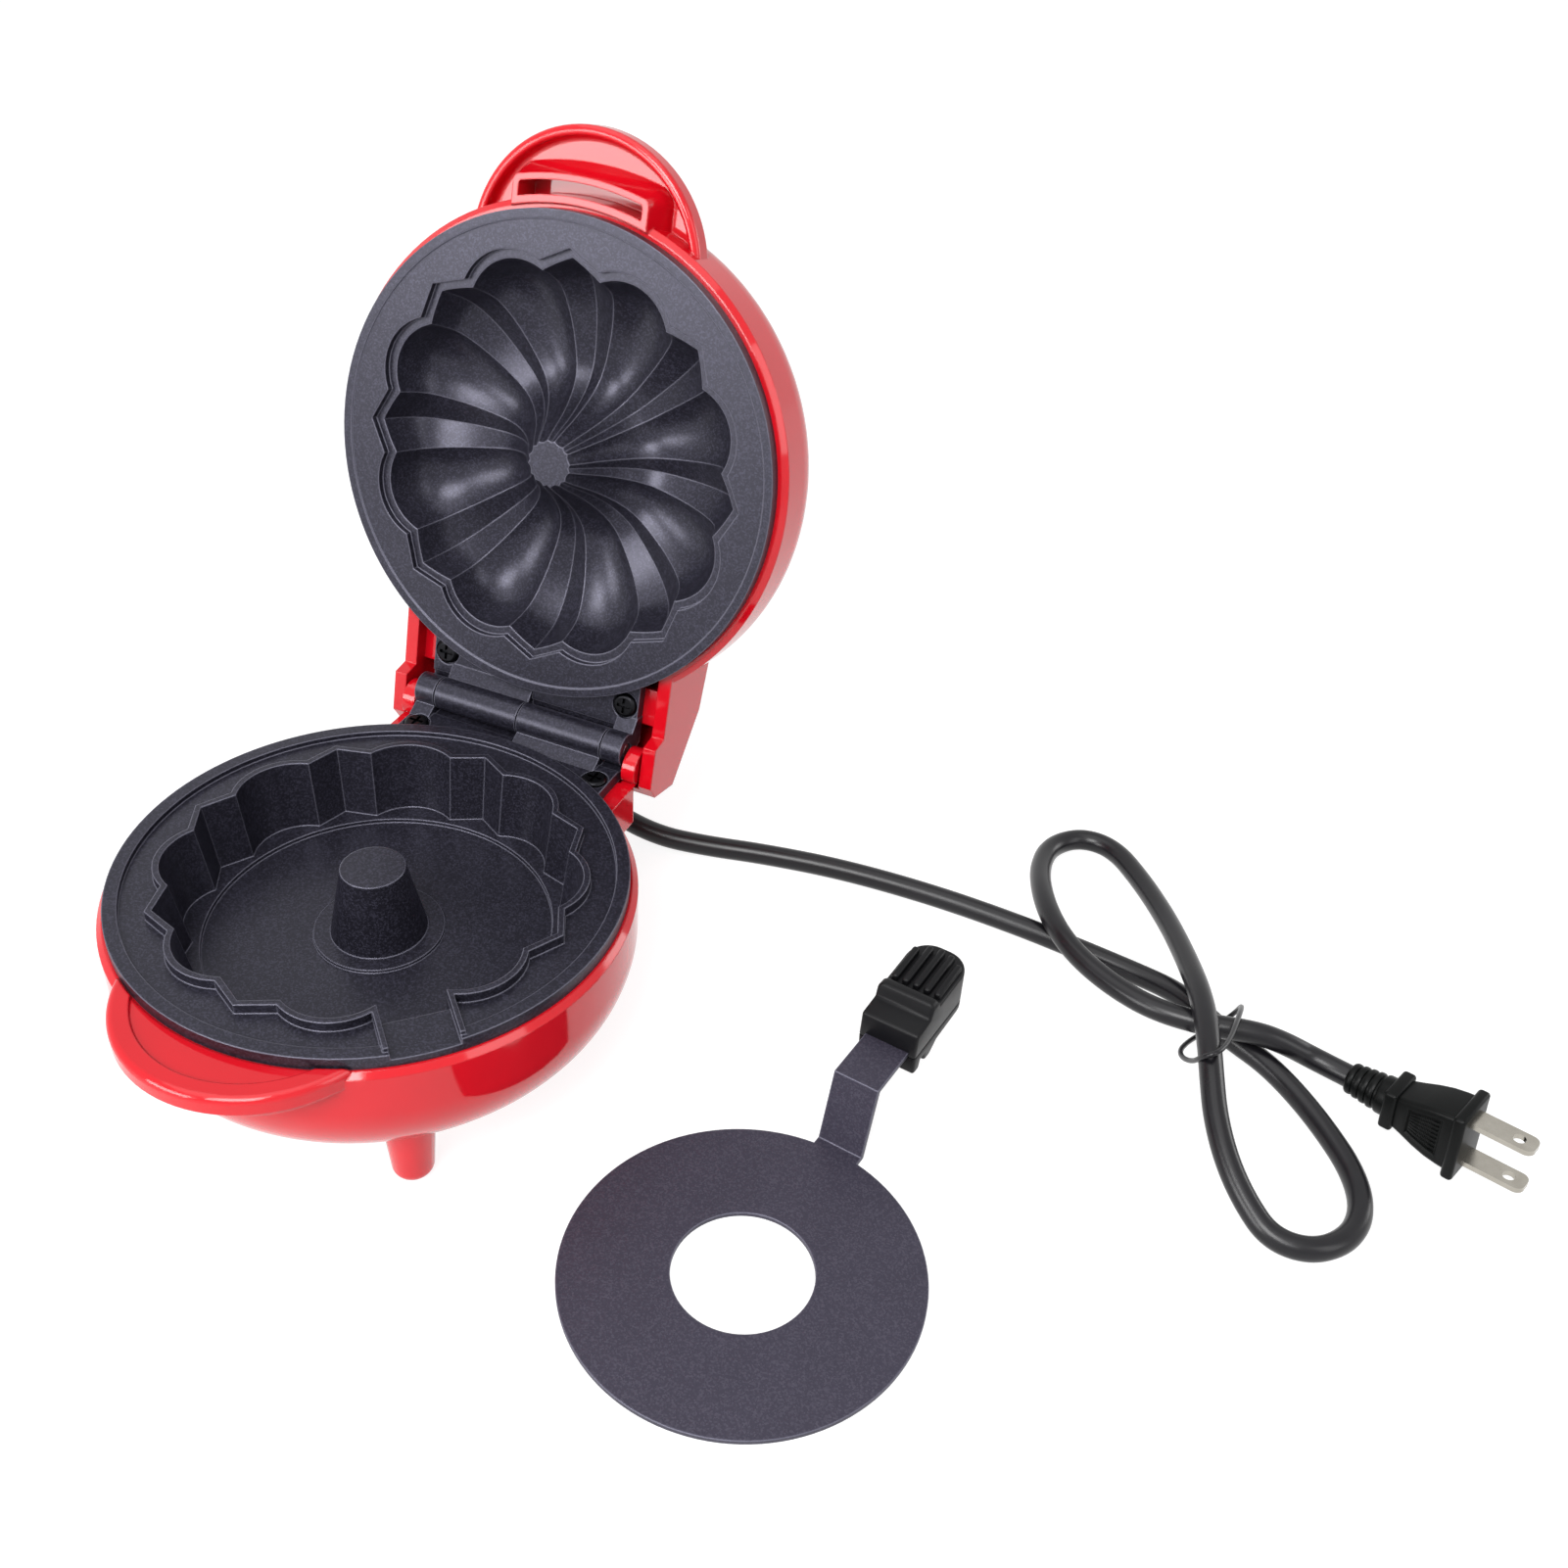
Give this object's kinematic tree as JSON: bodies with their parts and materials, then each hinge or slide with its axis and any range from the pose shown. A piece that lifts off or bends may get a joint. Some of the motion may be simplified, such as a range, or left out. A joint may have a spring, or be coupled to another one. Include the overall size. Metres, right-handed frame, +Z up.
{
  "type": "mini ring cake maker",
  "caption": "Tabletop electric maker for one fluted ring cake: round base and hinged domed lid with matching cavity plates, loose lifting tool, cord and flat-blade plug.",
  "frame": {"origin": "point of the table under the plates' common axis, level with the ends of the feet", "axes": "+Z up, +Y towards the hinge at the back, -Y towards the hand lip, +X to the right as the user faces it"},
  "size_m": [0.3521, 0.2417, 0.2045],
  "materials": {
    "red_plastic": "glossy moulded red heat-resistant plastic",
    "coated_plate": "die-cast aluminium under a dark satin non-stick coat",
    "coated_sheet": "steel sheet under a speckled dark non-stick coat",
    "steel": "plain bright steel",
    "black_screw": "blackened steel",
    "element": "sheathed heating element, dull steel",
    "aluminium_sheet": "bright aluminium sheet",
    "black_plastic": "matt black moulded plastic",
    "pale_plastic": "pale heat-resistant plastic",
    "cord_pvc": "black soft PVC, half gloss",
    "nickel": "nickel-plated brass"
  },
  "bodies": {
    "base": {"base_shell": "red_plastic", "lower_plate": "coated_plate", "hinge_pin": "steel", "lower_lug_screws": "black_screw", "base_screws": "steel", "lower_heater": "element", "lower_heater_pins": "steel", "lower_clamps": "steel", "lower_clamp_screws": "steel", "heat_shield": "aluminium_sheet", "thermostat": "black_plastic", "thermal_fuse": "pale_plastic", "terminal_block": "pale_plastic", "base_leads": "cord_pvc", "cord_bush": "cord_pvc", "cord": "cord_pvc", "cord_tie": "cord_pvc", "plug_body": "cord_pvc", "plug_blades": "nickel"},
    "lid": {"lid_shell": "red_plastic", "upper_plate": "coated_plate", "upper_lug_screws": "black_screw", "upper_heater": "element", "upper_heater_pins": "steel", "upper_clamps": "steel", "upper_clamp_screws": "steel"},
    "lifter": {"lifter_blade": "coated_sheet", "grip_top": "black_plastic", "grip_bottom": "black_plastic", "grip_screw": "steel"}
  },
  "joints": [
    {"name": "lid_hinge", "type": "hinge", "parent": "base", "child": "lid", "pos_m": [0, 0.0728, 0.054], "axis": [1, 0, 0], "range_deg": [0, 104]},
    {"name": "lifter_lift", "type": "slide", "parent": "base", "child": "lifter", "axis": [0, 0, 1], "range_m": [0, 0.15]}
  ]
}
